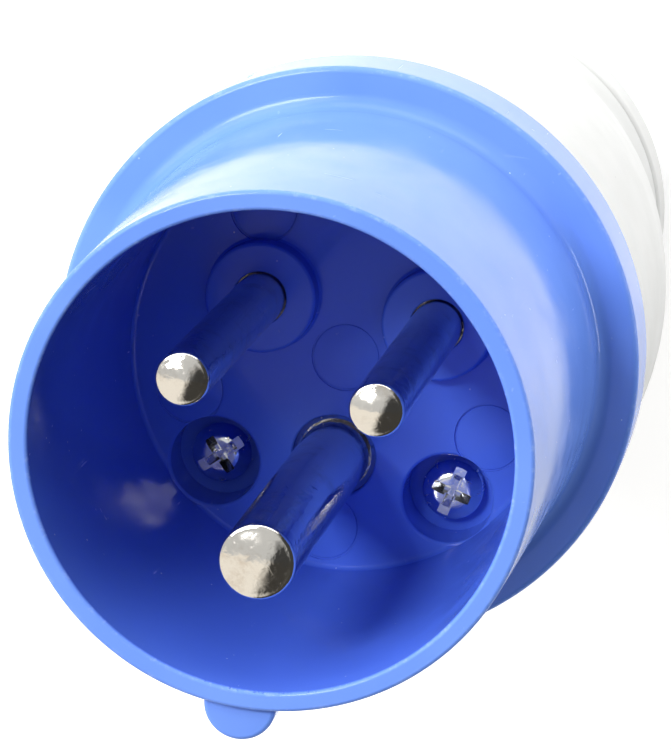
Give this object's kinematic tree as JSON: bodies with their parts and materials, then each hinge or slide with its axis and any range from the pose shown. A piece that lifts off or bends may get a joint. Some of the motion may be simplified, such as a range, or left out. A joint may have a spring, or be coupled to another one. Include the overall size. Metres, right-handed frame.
{
  "type": "industrial pin and sleeve plug",
  "caption": "Round plug for a cable end: deep keyed shroud around three pins on a blue moulded front, light grey waisted handle and a screw-on cord gland.",
  "frame": {"origin": "middle of the gland nut's flat end, on which the plug stands with its mouth up", "axes": "+Z along the plug's axis towards its mouth, -Y through the earth pin and the key rib, +X towards the neutral pin's side"},
  "size_m": [0.0574, 0.0574, 0.138],
  "materials": {
    "blue_moulding": "glossy injection-moulded polyamide",
    "grey_moulding": "smooth satin moulded polyamide",
    "pin_plating": "nickel-plated turned brass, polished",
    "zinc_screw": "bright zinc plating",
    "terminal_moulding": "dark moulded insulation",
    "clamp_moulding": "natural moulded polyamide",
    "seal_rubber": "soft black rubber",
    "leaf_brass": "rolled brass"
  },
  "bodies": {
    "plug": {"front_housing": "blue_moulding", "handle": "grey_moulding", "flange_gasket": "seal_rubber", "terminal_block": "terminal_moulding", "line_pin": "pin_plating", "neutral_pin": "pin_plating", "earth_pin": "pin_plating", "line_terminal_screw": "zinc_screw", "neutral_terminal_screw": "zinc_screw", "earth_terminal_screw": "zinc_screw", "line_wire_plate": "leaf_brass", "neutral_wire_plate": "leaf_brass", "earth_wire_plate": "leaf_brass", "carrier_screw": "zinc_screw", "housing_screw_left": "zinc_screw", "housing_screw_right": "zinc_screw", "clamp_cage": "clamp_moulding", "gland_grommet": "seal_rubber"},
    "slip_ring": {"slip_ring": "clamp_moulding"},
    "gland_nut": {"gland_nut": "grey_moulding"}
  },
  "joints": [
    {"name": "gland_travel", "type": "slide", "parent": "plug", "child": "slip_ring", "axis": [0, 0, -1], "range_m": [0, 0.006]},
    {"name": "gland_turn", "type": "hinge", "parent": "slip_ring", "child": "gland_nut", "pos_m": [0, 0, 0.009], "axis": [0, 0, -1], "range_deg": [0, 720]}
  ],
  "couplings": [
    {"joint": "gland_travel", "follows": "gland_turn", "m_per_rad": 0.00047746}
  ]
}
